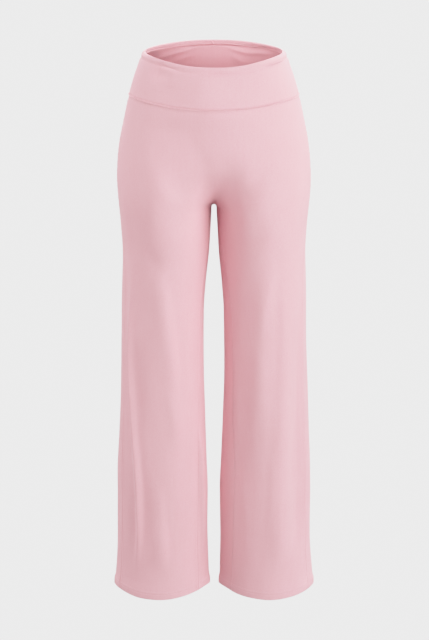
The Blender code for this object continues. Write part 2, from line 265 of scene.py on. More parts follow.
def smoothStep(t):
    t = np.clip(t, 0, 1)
    return t * t * (3 - 2 * t)


def bump(distance, middle, width):
    return np.exp(-(((distance - middle) / width) ** 2))


def swells(at, *rows):
    # heights across a seam or an edge, from rows of height, middle and width
    return sum(height * bump(at, middle, width) for height, middle, width in rows)


def roundEdge(away, radius):
    # how far a face rolls in as the cloth turns over its edge
    left = np.clip(radius - np.abs(away), 0, radius)
    return radius - np.sqrt(radius**2 - left**2)


def quarterRound(radius, step):
    # places down from a rounded edge, at even steps of its angle
    return radius * (1 - np.cos(np.radians(np.arange(0, 91, step))))


def nearest(line, points):
    # for each point the nearest place along a line, the step from there to it and its length
    start, span = line[:-1], np.diff(line, axis=0)
    p = points[:, None, :]
    size = np.maximum((span**2).sum(axis=1), 1e-18)
    t = np.clip(((p - start) * span).sum(axis=2) / size, 0, 1)
    step = p - (start + span * t[..., None])
    length = np.sqrt((step**2).sum(axis=2))
    best, row = length.argmin(axis=1), np.arange(len(points))
    return best + t[row, best], step[row, best], length[row, best]


def distanceTo(line, points):
    # distance of each point from a line, worked out for some thousands at a time
    flat = points.reshape(-1, 3)
    lengths = [nearest(line, some)[2] for some in np.array_split(flat, len(flat) // 4000 + 1)]
    return np.concatenate(lengths).reshape(points.shape[:-1])


# Creases of the cloth, in millimetres: a path, then the widths on its two sides and how far
# the crease stands out, then the share of the path over which it fades, or one share for
# each end. A path's points are (across, drop) on one face, where across is x on the front,
# the back and the inside of the back, and y on the two outer sides. The first width is on
# the side of lower across, or below a path that lies level. The front's rows weren't placed
# by hand: another program fitted them to the photograph's light and dark.
Crease = namedtuple("Crease", "face path low high height begin end")


def creaseRows(face, *rows):
    return [
        Crease(face, np.array(path) / 1000, *(np.array(sizes) / 1000), fades[0], fades[-1])
        for path, sizes, *fades in rows]


creases = creaseRows(
    "front",
    # waistband, front
    (((-122, 31), (-98, 31), (-70, 33)), (13, 32.5, -7.8), 0.4, 0.5),
    (((-112, 49), (-88, 56), (-58, 58)), (6.5, 6.5, -0.9), 0.5),
    (((-124, 62), (-90, 67), (-64, 66)), (6.5, 6.5, -0.7), 0.4, 0.5),
    # hips and groin
    (((-158, 268), (-141, 326), (-123, 374), (-87, 392)), (40, 21, -4.7), 0.5),
    (((-7, 95), (-5, 158), (28, 220), (17, 284)), (34.5, 21, -5.2), 1, 0.12),
    (((-105, 106), (-72, 167), (-63, 225), (-22, 269)), (40, 29, -4), 0.6, 0.3),
    (((-134, 145), (-113, 206), (-87, 259), (-37, 293)), (33, 20, 6.5), 0.5, 0.3),
    (((4, 130), (4, 180), (-2, 235)), (17, 17, 1.4), 0.5, 0.2),
    (((120, 192), (75, 236), (35, 276)), (17, 17, -6), 0.5, 0.3),
    (((133, 225), (100, 271), (62, 301), (38, 328)), (40, 22, 6.5), 0.5, 0.4),
    (((-1, 19), (-18, 60), (-7, 109), (-6, 165)), (30.5, 40, 6.5), 0.3, 0.5),
    (((-96, 20), (-88, 71), (-104, 114), (-100, 151)), (17, 40, -1.9), 0.3, 0.5),
    (((-21, 165), (-21, 235), (-33, 305)), (40, 17, -2.8), 0.5),
    (((61, 190), (59, 260), (50, 331)), (33, 40, -6), 0.5),
    (((-10, 249), (30, 256), (70, 267)), (40, 26.5, -3.5), 0.5),
    (((-64, 124), (-27, 184), (11, 241)), (40, 20.5, -4.4), 0.5),
    (((68, 195), (8, 231), (-50, 271)), (35, 20, -4.7), 0.5),
    (((-50, 276), (-75, 343), (-112, 403)), (40, 40, 6.5), 0.5),
    (((-34, 215), (-22, 285), (-8, 354)), (19.5, 40, -3), 0.5),
    (((-146, 225), (-110, 284), (-74, 345)), (28, 21, 2.9), 0.5),
    (((-140, 136), (-70, 136), (0, 135)), (40, 22, -6), 0.5),
    (((44, 245), (40, 285), (48, 325)), (17, 17, -4), 0.5),
    (((11, 173), (-52, 207), (-112, 242)), (33.5, 17.5, -0.5), 0.5),
    (((141, 272), (107, 333), (73, 395)), (19.5, 22.5, 6.5), 0.5),
    (((-40, 112), (30, 108), (100, 107)), (17, 17, 3.2), 0.5),
    # right leg, front
    (((-152, 400), (-157, 500), (-156, 610), (-151, 700), (-145, 790), (-144, 860), (-144, 930),
     (-150, 1010)), (6.5, 6.5, 9.5), 0.3, 0.2),
    (((-114, 373), (-98, 433), (-88, 512), (-78, 612), (-67, 710)), (19, 14, 9.5), 0.4),
    (((-89, 618), (-75, 699), (-71, 769)), (12.5, 16.5, 5.1), 0.4, 0.5),
    (((-133, 780), (-129, 880), (-132, 990)), (36, 21.5, -4.9), 0.5, 0.4),
    (((-108, 800), (-102, 880), (-95, 960)), (36, 8.5, 3.1), 0.4, 0.5),
    (((-63, 840), (-58, 930), (-55, 1010)), (28, 19.5, -1.7), 0.5, 0.4),
    (((-135, 340), (-141, 450), (-151, 560)), (15.5, 27, -5.9), 0.45),
    (((-101, 885), (-101, 945), (-104, 1005)), (19, 13.5, 6.8), 0.45),
    (((-143, 520), (-139, 630), (-138, 740)), (11, 8.5, -3.2), 0.45),
    (((-25, 700), (-25, 800), (-23, 900), (-21, 1005)), (6.5, 7, 6.6), 0.3, 0.25),
    # left leg, front
    (((163, 420), (160, 500), (160, 630), (161, 720), (163, 840), (160, 910), (159, 980)), (36, 18.5,
     -8.3), 0.35, 0.25),
    (((106, 360), (103, 460), (90, 560), (96, 650), (94, 740), (96, 840), (98, 950)), (9, 8, 0.5), 0.35),
    (((129, 400), (131, 540), (124, 670)), (9.5, 36, 5.3), 0.4),
    (((107, 740), (106, 790), (105, 860)), (6.5, 8, 0.6), 0.4),
    (((124, 680), (113, 820), (108, 950)), (10.5, 17, 3.7), 0.5, 0.4),
    (((55, 500), (58, 640), (62, 780)), (17, 13.5, -2.2), 0.4, 0.5),
    (((54, 800), (61, 900), (57, 1000)), (8, 8.5, 0.8), 0.4),
    (((88, 880), (85, 950), (86, 1010)), (12, 12, -0.8), 0.5, 0.4),
    (((140, 700), (134, 810), (128, 920)), (16.5, 13.5, 3), 0.45),
    (((82, 520), (85, 630), (89, 740)), (12.5, 19.5, 3.5), 0.45),
    (((137, 790), (131, 900), (121, 1010)), (20, 17, 3.9), 0.45),
    (((110, 340), (98, 450), (76, 559)), (21, 12.5, 6.3), 0.45),
    (((153, 610), (141, 721), (121, 830)), (19, 21, -1), 0.45),
    (((58, 654), (50, 764), (46, 874)), (14, 35, -4.6), 0.45),
    (((129, 790), (123, 900), (119, 1010)), (17.5, 13.5, 5.8), 0.45),
    (((137, 565), (131, 675), (132, 785)), (13, 36, 5.4), 0.45),
    (((154, 790), (140, 899), (120, 1009)), (17.5, 17.5, 2.9), 0.45),
    (((138, 655), (129, 765), (123, 875)), (16.5, 21.5, 5.1), 0.45),
)
creases += creaseRows(
    "right",
    # outer side of the right leg
    (((-12, 420), (-6, 560), (-10, 700)), (12, 14, -3.6), 0.4),
    (((14, 500), (18, 680), (12, 860)), (12, 12, 3), 0.4),
    (((-4, 800), (-10, 900), (-6, 1000)), (10, 10, -2.4), 0.4),
)
creases += creaseRows(
    "left",
    # outer side of the left leg
    (((-6, 460), (-10, 600), (-4, 760)), (13, 12, -3.3), 0.4),
    (((16, 540), (12, 720), (18, 900)), (12, 12, 2.7), 0.4),
    (((-12, 840), (-4, 930), (-8, 1000)), (10, 10, -2.1), 0.4),
)
creases += creaseRows(
    "back",
    # back of the seat
    (((-20, 262), (-56, 296), (-98, 312)), (14, 18, -2.2), 0.3, 0.5),
    (((-34, 292), (-66, 322), (-110, 340)), (13, 18, 1.2), 0.4, 0.5),
    (((22, 266), (60, 300), (104, 318)), (14, 18, -2), 0.3, 0.5),
    (((36, 296), (72, 328), (112, 342)), (13, 18, 1), 0.4, 0.5),
    (((-30, 150), (-18, 200), (-6, 250)), (14, 12, -1.8), 0.5, 0.3),
    # right leg, back
    (((-124, 340), (-106, 440), (-88, 560), (-84, 660)), (15, 13, -4.5), 0.4),
    (((-94, 400), (-78, 520), (-68, 640)), (11, 14, 3.6), 0.4),
    (((-74, 600), (-82, 740), (-94, 870), (-100, 990)), (18, 20, 5.4), 0.4, 0.3),
    (((-148, 520), (-142, 680), (-146, 840), (-150, 980)), (8, 12, 4.8), 0.4, 0.3),
    (((-128, 620), (-120, 760), (-126, 900)), (10, 10, -3.3), 0.4),
    (((-50, 760), (-56, 880), (-52, 1000)), (10, 10, -2.7), 0.4),
    # left leg, back
    (((118, 340), (98, 440), (80, 560), (74, 680)), (14, 15, -4.5), 0.4),
    (((88, 420), (102, 540), (108, 660)), (13, 11, 3.3), 0.4),
    (((120, 600), (116, 740), (118, 870), (114, 990)), (20, 18, 5.1), 0.4, 0.3),
    (((150, 560), (145, 700), (150, 860), (147, 980)), (12, 8, 4.2), 0.4, 0.3),
    (((72, 640), (76, 780), (70, 920)), (11, 10, -3.3), 0.4),
    (((98, 860), (94, 940), (98, 1010)), (7, 8, -1.8), 0.4),
    # waistband, back
    (((-110, 36), (-70, 42), (-30, 40)), (5, 5, -0.7), 0.4, 0.5),
    (((100, 30), (62, 36), (24, 35)), (5, 5, -0.7), 0.4, 0.5),
    (((116, 58), (80, 64), (40, 62)), (6, 6, -0.6), 0.4, 0.5),
)
creaseReach = 2.8  # widths from its path at which a crease ends


def onFace(face, across, drop):
    # points of the body at places on one of its faces
    middle, half, web = legOval(drop)
    front, back, corner = body(drop, "front", "back", "corner")
    if face in ("front", "back"):
        share = np.clip((np.hypot(across, web) - middle) / half, -1, 1)
        depth = (1 - share**2) ** (1 / corner)
        y = -front * depth if face == "front" else back * depth
        return np.stack([across, y, -drop], axis=-1)
    depth = np.abs(across / np.where(across < 0, front, back)) ** corner
    reach = middle + half * np.sqrt(np.clip(1 - depth, 0, 1))
    x = np.sqrt(np.maximum(reach**2 - web**2, 0)) * (1 if face == "left" else -1)
    return np.stack([x, across, -drop], axis=-1)


def smoothPath(path, samples=40):
    # Catmull-Rom curve through the path's points
    p = np.concatenate([2 * path[:1] - path[1:2], path, 2 * path[-1:] - path[-2:-1]])
    at = np.linspace(0, len(p) - 3 - 1e-6, samples)
    i = at.astype(int)
    t = (at - i)[:, None]
    a, b, c, d = p[i], p[i + 1], p[i + 2], p[i + 3]
    square, cube = 2 * a - 5 * b + 4 * c - d, 3 * b - a - 3 * c + d
    return 0.5 * (2 * b + (c - a) * t + square * t**2 + cube * t**3)


def creaseHeight(points, table):
    # how far the cloth stands out at its creases
    flat = points.reshape(-1, 3)
    height = np.zeros(len(flat))
    for crease in table:
        path = smoothPath(crease.path)
        line = onFace(crease.face, path[:, 0], path[:, 1])
        reach = creaseReach * max(crease.low, crease.high)
        low, high = line.min(axis=0) - reach, line.max(axis=0) + reach
        near = np.nonzero(((flat > low) & (flat < high)).all(axis=1))[0]
        along, step, distance = nearest(line, flat[near])
        upright = abs(path[-1, 1] - path[0, 1]) > 0.5 * abs(path[-1, 0] - path[0, 0])
        axis = 2 if not upright else (0 if crease.face in ("front", "back") else 1)
        width = np.where(step[:, axis] < 0, crease.low, crease.high)
        along = along / (len(line) - 1)
        fade = smoothStep(along / crease.begin) * smoothStep((1 - along) / crease.end)
        height[near] += crease.height * fade * np.exp(-((distance / width) ** 2))
    return height.reshape(points.shape[:-1])


drape = {
    "seed": 11,
    "waves": 16,
    "across": (0.028, 0.08),  # shortest and longest wave across the cloth
    "upright": (0.2, 0.5),
    "height": 0.00013,  # of a wave of this width
    "heightAt": 0.045,
    "top": 0.06,  # drop at which the waves begin, and the depth over which they grow
    "grow": 0.2,
}


def drapeHeight(points):
    # the faint unevenness of hanging jersey: long, mostly upright waves
    random = np.random.default_rng(drape["seed"])
    total = np.zeros(points.shape[:-1])
    for _ in range(drape["waves"]):
        across = random.uniform(*drape["across"])
        upright = random.uniform(*drape["upright"])
        turn = random.uniform(0, math.pi)
        phase = random.uniform(0, 2 * math.pi)
        sign = random.choice([-1, 1])
        k = np.array([math.cos(turn) / across, math.sin(turn) / across, sign / upright])
        wave = np.sin(2 * math.pi * (points @ k) + phase)
        total += wave * drape["height"] * (across / drape["heightAt"])
    return total * smoothStep((-points[..., 2] - drape["top"]) / drape["grow"])


seam = {
    # height, distance and width of the swells and grooves beside each kind of seam
    "panelProfile": ((0.0003, 0.0028, 0.0016), (-0.0006, 0, 0.0009)),
    "bandProfile": ((0.0002, 0.0028, 0.0016), (-0.0007, 0, 0.0009)),
    "underBand": ((0.0015, 0.0018, 0.0012), (-0.0005, 0, 0.0006), (-0.0007, 0.0078, 0.0034)),
    "pucker": 0.00022,  # the small gathers that the thread pulls into the cloth
    "puckerPitch": 0.0115,
    "puckerReach": 0.008,
    "puckerSway": 2.1,  # how far the pitch comes and goes, and over which length
    "puckerDrift": 0.083,
    "allowance": 0.0065,  # the overlocked edges pressed flat inside
    "bandAllowance": 0.007,
    "allowanceThickness": 0.001,
    "allowanceEdge": 0.0012,
    "allowanceEnd": 0.0016,  # height over the hem at which they end, and their fade over it
    "allowanceFade": 0.004,
}


def pucker(distance, drop):
    sway = seam["puckerSway"] * np.sin(2 * math.pi * drop / seam["puckerDrift"])
    wave = np.sin(2 * math.pi * drop / seam["puckerPitch"] + sway)
    return seam["pucker"] * wave * np.exp(-((distance / seam["puckerReach"]) ** 2))


def allowance(distance, width):
    inside = 1 - smoothStep((distance - width) / seam["allowanceEdge"])
    return seam["allowanceThickness"] * inside


def quads(index, flip):
    a, b, c, d = index[:-1, :-1], index[1:, :-1], index[1:, 1:], index[:-1, 1:]
    corners = (a, d, c, b) if flip else (a, b, c, d)
    return np.stack([corner.ravel() for corner in corners], axis=-1)


def addPiece(name, points, faces, uv, material):
    mesh = bpy.data.meshes.new(name)
    mesh.from_pydata(points.tolist(), [], faces)
    corners = np.empty(len(mesh.loops), np.int32)
    mesh.loops.foreach_get("vertex_index", corners)
    layer = mesh.uv_layers.new(name="cloth")
    layer.data.foreach_set("uv", uv[corners].astype(np.float32).ravel())
    mesh.shade_smooth()
    mesh.materials.append(material)
    piece = bpy.data.objects.new(name, mesh)
    scene.collection.objects.link(piece)
    return piece


def clothShell(name, outer, inner, uv, faces, material):
    # a closed thin shell: the outer layer, the inner layer and the edge between them
    outer, inner, uv = outer.reshape(-1, 3), inner.reshape(-1, 3), uv.reshape(-1, 2)
    count = len(outer)
    edges = np.concatenate([faces[:, [i, (i + 1) % 4]] for i in range(4)])
    forward, backward = edges[:, 0] * count + edges[:, 1], edges[:, 1] * count + edges[:, 0]
    start, end = edges[~np.isin(forward, backward)].T
    walls = np.stack([end, start, start + count, end + count], axis=-1)
    allFaces = np.concatenate([faces, faces[:, ::-1] + count, walls]).tolist()
    piece = addPiece(
        name, np.concatenate([outer, inner]), allFaces, np.concatenate([uv, uv]), material)
    piece.data.set_sharp_from_angle(angle=math.radians(60))
    a, b, c, d = (outer[faces[:, i]] for i in range(4))
    area = float(np.linalg.norm(np.cross(c - a, d - b), axis=1).sum() / 2)
    return piece


def operator(operation, reflected=False):
    def apply(self, other):
        return self.math(operation, *((other, self) if reflected else (self, other)))
    return apply


class Socket:
    # one output of a shader's nodes, so that sums on it are written as sums
    def __init__(self, shader, socket):
        self.shader, self.socket = shader, socket

    def math(self, operation, *values):
        settings = {"operation": operation}
        return self.shader.node("ShaderNodeMath", settings, dict(enumerate(values)))

    __add__, __radd__ = operator("ADD"), operator("ADD", True)
    __sub__, __rsub__ = operator("SUBTRACT"), operator("SUBTRACT", True)
    __mul__, __rmul__ = operator("MULTIPLY"), operator("MULTIPLY", True)
    __truediv__, __rtruediv__ = operator("DIVIDE"), operator("DIVIDE", True)

    def __abs__(self):
        return self.math("ABSOLUTE", self)

    def fraction(self):
        return self.math("FRACT", self)

    def wave(self):
        # one sine wave from 0 to 1 for each whole number
        return self.math("SINE", self * (2 * math.pi)) * 0.5 + 0.5


class Shader:
    # the nodes of a material or of the world
    def __init__(self, owner):
        owner.use_nodes = True
        self.owner, self.tree = owner, owner.node_tree

    def feed(self, socket, value):
        if isinstance(value, Socket):
            self.tree.links.new(value.socket, socket)
        else:
            socket.default_value = value

    def node(self, kind, settings=None, inputs=None, output=0):
        made = self.tree.nodes.new(kind)
        for key, value in (settings or {}).items():
            setattr(made, key, value)
        for key, value in (inputs or {}).items():
            self.feed(made.inputs[key], value)
        return Socket(self, made.outputs[output])

    def finish(self, name, inputs):
        # feeds a node that a new material or world has from the start
        for key, value in inputs.items():
            self.feed(self.tree.nodes[name].inputs[key], value)
        return self.owner

    def mixColor(self, factor, first, second):
        inputs = {0: factor, 6: first, 7: second}
        return self.node("ShaderNodeMix", {"data_type": "RGBA"}, inputs, output=2)

    def noise(self, place, scale, detail, roughness, low, high):
        # noise at a place, its values from low to high spread over 0 to 1
        inputs = {"Vector": place, "Scale": scale, "Detail": detail, "Roughness": roughness}
        grain = self.node("ShaderNodeTexNoise", {}, inputs)
        return self.node("ShaderNodeMapRange", {}, {0: grain, 1: low, 2: high})

    def relief(self, strength, distance, height):
        inputs = {"Strength": strength, "Distance": distance, "Height": height}
        return self.node("ShaderNodeBump", {}, inputs)

    def clothPlace(self):
        # the two coordinates of the cloth's own map
        uv = self.node("ShaderNodeUVMap", {"uv_map": "cloth"})
        return [self.node("ShaderNodeSeparateXYZ", {}, {0: uv}, output) for output in (0, 1)]


jersey = {
    "color": (0.8, 0.388, 0.432, 1.0),
    "paintedValleyShade": (0.735, 0.312, 0.354, 1.0),  # painted shade, deep between the loops of the knit
    "heather": (0.855, 0.478, 0.52, 1.0),
    "roughness": 0.86,
    "sheen": 0.2,
    "sheenRoughness": 0.45,
    "sheenTint": (0.78, 0.94, 0.96, 1.0),
    "specular": 0.25,
    "wale": 0.0008,  # width of one column of loops
    "course": 0.00062,  # height of one row of loops
    "slant": 1.1,  # how far a loop's legs slant, in rows
    "loopShare": 0.3,  # share of the knit's relief from its rows, the rest from its columns
    "knitShadeShare": 0.22,  # share of the painted shade's colour between the loops
    "knitBump": 0.0001,
    "bumpStrength": 0.55,
    # scale, detail, roughness, lowest and highest value of each noise
    "speckle": (440.0, 2.0, 0.6, 0.36, 0.66),
    "mottle": (34.0, 3.0, 0.55, 0.3, 0.7),
    "streak": (1.0, 2.0, 0.6, 0.34, 0.66),
    "streakPerMetre": (190, 20),  # across the cloth and along it
    "lighter": (0.3, 0.08, 0.1),  # share of the heather that speckle, mottle and streak bring
    "smoother": 0.06,  # how much less rough a speckle is
    "uneven": (0.35, 0.5),  # relief of speckle and streak beside the knit's
}


def jerseyMaterial(name, paintedBrightness=1.0):
    s = Shader(bpy.data.materials.new(name))
    u, v = s.clothPlace()
    place = s.node("ShaderNodeTexCoord", output=3)
    # each wale is two slanting legs that meet in a row of small points
    fromMiddle = abs((u / jersey["wale"]).fraction() - 0.5)
    leg = 1 - abs(fromMiddle - 0.25) * 4
    loop = (v / jersey["course"] + fromMiddle * jersey["slant"]).wave()
    knit = leg * (1 - jersey["loopShare"]) + loop * jersey["loopShare"]
    across, along = jersey["streakPerMetre"]
    stretched = s.node("ShaderNodeCombineXYZ", {}, {0: u * across, 1: v * along})
    speckle = s.noise(place, *jersey["speckle"])
    mottle = s.noise(place, *jersey["mottle"])
    streak = s.noise(stretched, *jersey["streak"])
    # every colour of a copy is scaled by its painted brightness, which paints light or shade over the
    # whole piece
    color, paintedValleyShade, heather = (
        (*(c * paintedBrightness for c in jersey[key][:3]), 1.0) for key in ("color", "paintedValleyShade", "heather"))
    # the knit's valleys take a darker colour: painted shade between the loops, beside the bump's relief
    base = s.mixColor((1 - knit) * jersey["knitShadeShare"], color, paintedValleyShade)
    bySpeckle, byMottle, byStreak = jersey["lighter"]
    lighter = speckle * bySpeckle + mottle * byMottle + streak * byStreak
    speckleRise, streakRise = jersey["uneven"]
    height = knit + speckle * speckleRise + streak * streakRise
    return s.finish("Principled BSDF", {
        "Base Color": s.mixColor(lighter, base, heather),
        "Roughness": jersey["roughness"] - speckle * jersey["smoother"],
        "Normal": s.relief(jersey["bumpStrength"], jersey["knitBump"], height),
        "Sheen Weight": jersey["sheen"],
        "Sheen Roughness": jersey["sheenRoughness"],
        "Sheen Tint": jersey["sheenTint"],
        "Specular IOR Level": jersey["specular"],
    })


thread = {
    "color": (0.82, 0.47, 0.515, 1.0),
    "shadow": (0.64, 0.3, 0.35, 1.0),
    "shadowShare": 0.6,
    "roughness": 0.55,
    "sheen": 0.2,
    "radius": 0.00021,
    "twist": 0.00055,  # pitch of its two plies
    "plyBump": 0.00008,
    "bumpStrength": 0.4,
}


def threadMaterial(name):
    s = Shader(bpy.data.materials.new(name))
    around, along = s.clothPlace()
    ply = (along / thread["twist"] + around).wave()
    return s.finish("Principled BSDF", {
        "Base Color": s.mixColor(ply * thread["shadowShare"], thread["color"], thread["shadow"]),
        "Roughness": thread["roughness"],
        "Normal": s.relief(thread["bumpStrength"], thread["plyBump"], ply),
        "Sheen Weight": thread["sheen"],
    })


# the band's copy is painted a little lighter, painted light, and the facing's inside the waist a little
# darker, painted shade
panelMaterial = jerseyMaterial("pinkJersey")
bandMaterial = jerseyMaterial("pinkJerseyBandPaintedLighter", 1.01)
facingMaterial = jerseyMaterial("pinkJerseyFacingPaintedShade", 0.97)
seamThread = threadMaterial("pinkThread")
print("materials made")

panel = {
    "rowStep": 0.005,
    "frontColumns": 74,
    "backColumns": 76,
    "hemDepth": 0.015,  # the turned edge, up to its raw end
    "hemStep": 0.0012,  # reach over which the raw end's step shows
    "hemThickness": 0.0026,
    "hemSwell": 0.00035,
    "hemRows": (0.0105, 0.0142),  # its two rows of stitches, up from the edge
    "stitchDent": 0.00032,
    "stitchWidth": 0.0006,
    "hemLevels": (0.0025, 0.0182, 0.0008),  # first, last and step of the rows at the hem
}


def evenRows(start, end):
    return np.linspace(start, end, round((end - start) / panel["rowStep"]) + 1)


def panelDrops():
    # rows from the waistband seam to the hem, with one on the crotch
    top = cut["bandSeam"] + np.append(edgeSteps[:-1], cut["seamRows"])
    hem = cut["hem"] - np.arange(*panel["hemLevels"])[::-1]
    hips, legs = evenRows(top[-1], cut["crotch"]), evenRows(cut["crotch"], hem[0])
    bottom = cut["hem"] - quarterRound(panel["hemThickness"] / 2, 18)[::-1]
    return np.concatenate([top[:-1], hips, legs[1:-1], hem, bottom])


drops = panelDrops()
crotchRow = int(np.argmin(np.abs(drops - cut["crotch"])))


def hemOffsets():
    # outer and inner offsets of the turned hem, and the dents of its stitches
    up = cut["hem"] - drops
    rolled = roundEdge(up, panel["hemThickness"] / 2)
    turned = 1 - smoothStep((up - panel["hemDepth"]) / panel["hemStep"])
    dents = [(-panel["stitchDent"], place, panel["stitchWidth"]) for place in panel["hemRows"]]
    outer = panel["hemSwell"] * turned - rolled + swells(up, *dents)
    inner = rolled - cut["cloth"] - (panel["hemThickness"] - cut["cloth"]) * turned
    return outer[:, None], np.minimum(inner, outer)[:, None]


def panelLayers(whole, eased, lines):
    # creases, seams, the ridge under the waistband and the hem, on a panel's two faces
    height = creaseHeight(whole, creases) + drapeHeight(whole)
    bandAway = distanceTo(whole[0], whole)
    outer = height + swells(bandAway, *seam["underBand"])
    thick = allowance(bandAway, seam["bandAllowance"])
    for line in lines:
        away = distanceTo(line, whole)
        outer += swells(away, *seam["panelProfile"]) + pucker(away, -whole[..., 2])
        thick = np.maximum(thick, allowance(away, seam["allowance"]))
    hemOuter, hemInner = hemOffsets()
    outer += hemOuter
    aboveHem = (cut["hem"] - seam["allowanceEnd"] - drops)[:, None]
    inner = height + hemInner - thick * smoothStep(aboveHem / seam["allowanceFade"])
    return layers(whole, eased, outer, np.minimum(inner, outer - cut["thinnest"]))


def makeFront():
    halves = []
    for side, inseam in ((1, "inseamLeft"), (-1, "inseamRight")):
        whole, across = panelGrid(drops, "front", inseam, panel["frontColumns"])
        eased = easedGrid(whole, [-1], 0)
        eased[crotchRow + 1:, 0] = drawnIn(whole[crotchRow + 1:, 0], whole[crotchRow + 1:, 1])
        eased[crotchRow, 0] = drawnIn(whole[crotchRow, 0], whole[crotchRow - 1, 0])
        whole, eased = whole * (side, 1, 1), eased * (side, 1, 1)
        outer, inner = panelLayers(whole, eased, [whole[:, -1], whole[crotchRow:, 0]])
        across = across + 0.5 * (across[:, -1:] - across[:, :1])
        halves.append((outer, inner, clothMap(across * side, drops)))
    # both halves meet in one column, which takes the mean of the two
    for first, second in zip(*halves):
        first[:crotchRow + 1, 0] = (first[:crotchRow + 1, 0] + second[:crotchRow + 1, 0]) / 2
    rows, columns = len(drops), across.shape[1]
    index = np.arange(2 * rows * columns).reshape(2 * rows, columns)
    index[rows:rows + crotchRow + 1, 0] = index[:crotchRow + 1, 0]
    used, place = np.unique(index, return_inverse=True)
    place = place.reshape(index.shape)
    outer, inner, uv = (
        np.concatenate(pair).reshape(-1, pair[0].shape[-1])[used] for pair in zip(*halves))
    faces = np.concatenate([quads(place[:rows], False), quads(place[rows:], True)])
    piece = clothShell("frontPanel", outer, inner, uv, faces, panelMaterial)
    return piece, halves[0][0], halves[1][0]


def makeBack(name, inseam, side):
    whole, across = panelGrid(drops, "back", inseam, panel["backColumns"])
    eased = easedGrid(whole, [0, -1], 0)
    eased[crotchRow, -1] = drawnIn(eased[crotchRow, -1], whole[crotchRow - 1, -1])
    whole, eased = whole * (side, 1, 1), eased * (side, 1, 1)
    outer, inner = panelLayers(whole, eased, [whole[:, 0], whole[:, -1]])
    faces = quads(np.arange(across.size).reshape(across.shape), side < 0)
    uv = clothMap(across * side, drops)
    return clothShell(name, outer, inner, uv, faces, panelMaterial), outer


frontPanel, *frontFaces = makeFront()
backLeft, backLeftFace = makeBack("backPanelLeft", "inseamLeft", 1)
backRight, backRightFace = makeBack("backPanelRight", "inseamRight", -1)

band = {
    "columns": 60,  # on each half of a piece
    "foldColumns": 12,  # columns at the small fold at the centre back, and their step
    "foldStep": 0.0008,
    "rollRadius": 0.00165,
    "rollDepth": 0.009,  # the rolled top edge over its elastic
    "rollEnd": 0.0008,
    "rollLevels": (0.0021, 0.013, 0.0006),  # first, last and step of the rows at the roll
    "flatLevels": (0.0135, 24),  # first and number of the rows below it
    # height, drop and width of each swell of the cloth
    "roll": (0.0006, 0.005, 0.0034),
    "trough": (-0.0015, 0.0118, 0.003),  # the dent under the roll
    "troughUneven": ((0.25, 61, 0.7), (0.18, 133, 0)),  # share, waves and phase across
    "atSeam": ((0.0004, -0.0045, 0.0026), (-0.0006, 0, 0.0016)),  # from the seam at its foot
    "elastic": ((0.0006, 0.0024, 0.0006), (0.0006, 0.0046, 0.0006), (0.0006, 0.0068, 0.0006)),
    "lip": (0.0009, 0.0074, 0.0012),  # the roll's lower edge inside, away from the centre
    "lipPause": 0.03,  # half width of the stretch at the centre without it
    "creaseStart": 0.02,  # drop above which the inner face takes less of the creases
    "seamStart": 0.004,  # drop above which the side seams' grooves fade
    "thinnest": 0.0003,  # least thickness, the drop from which it holds, and that at the rim
    "thinnestFrom": 0.003,
    "thinnestRim": 0.00001,
}


def ringGrid(levels, part):
    # rows right round the front or the back half of the waist, from two mirrored halves
    def spacing(span):
        if part == "front":
            even = np.linspace(0, span - edgeSteps[-1], band["columns"] + 1)[:-1]
            return np.concatenate([even, span - edgeSteps[::-1]])
        fold = span - band["foldStep"] * np.arange(band["foldColumns"])[::-1]
        even = np.linspace(edgeSteps[-1], fold[0], band["columns"])[1:-1]
        return np.concatenate([edgeSteps, even, fold])

    rows, places = [], []
    for drop in levels:
        half, along, span = readRow(drop, part, "inseamLeft", spacing)
        other = half * (-1, 1, 1)
        if part == "front":
            rows.append(np.concatenate([half[::-1], other[1:]]))
            places.append(np.concatenate([along[::-1], -along[1:]]))
        else:
            rows.append(np.concatenate([other[:-1], half[::-1]]))
            places.append(np.concatenate([along[:-1] - span, (span - along)[::-1]]))
    return np.array(rows), np.array(places)


# the small fold at the centre of the inside back
centreFold = creaseRows(
    "back",
    (((-5, -4), (-2.6, -2.2), (-0.8, -0.2), (0.2, 2)), (1.4, 0.7, 1.3), 0.1, 0.3),
    (((-3.6, -4.2), (-1, -2.2), (0.8, -0.2), (2.2, 1.6)), (0.8, 1.4, -1.2), 0.1, 0.3),
)


def bandDrops():
    flatTop, count = band["flatLevels"]
    flat = np.linspace(flatTop, cut["bandSeam"] - cut["seamRows"], count)
    return np.concatenate([
        quarterRound(band["rollRadius"], 15), np.arange(*band["rollLevels"]), flat,
        cut["bandSeam"] - edgeSteps[-2::-1]])


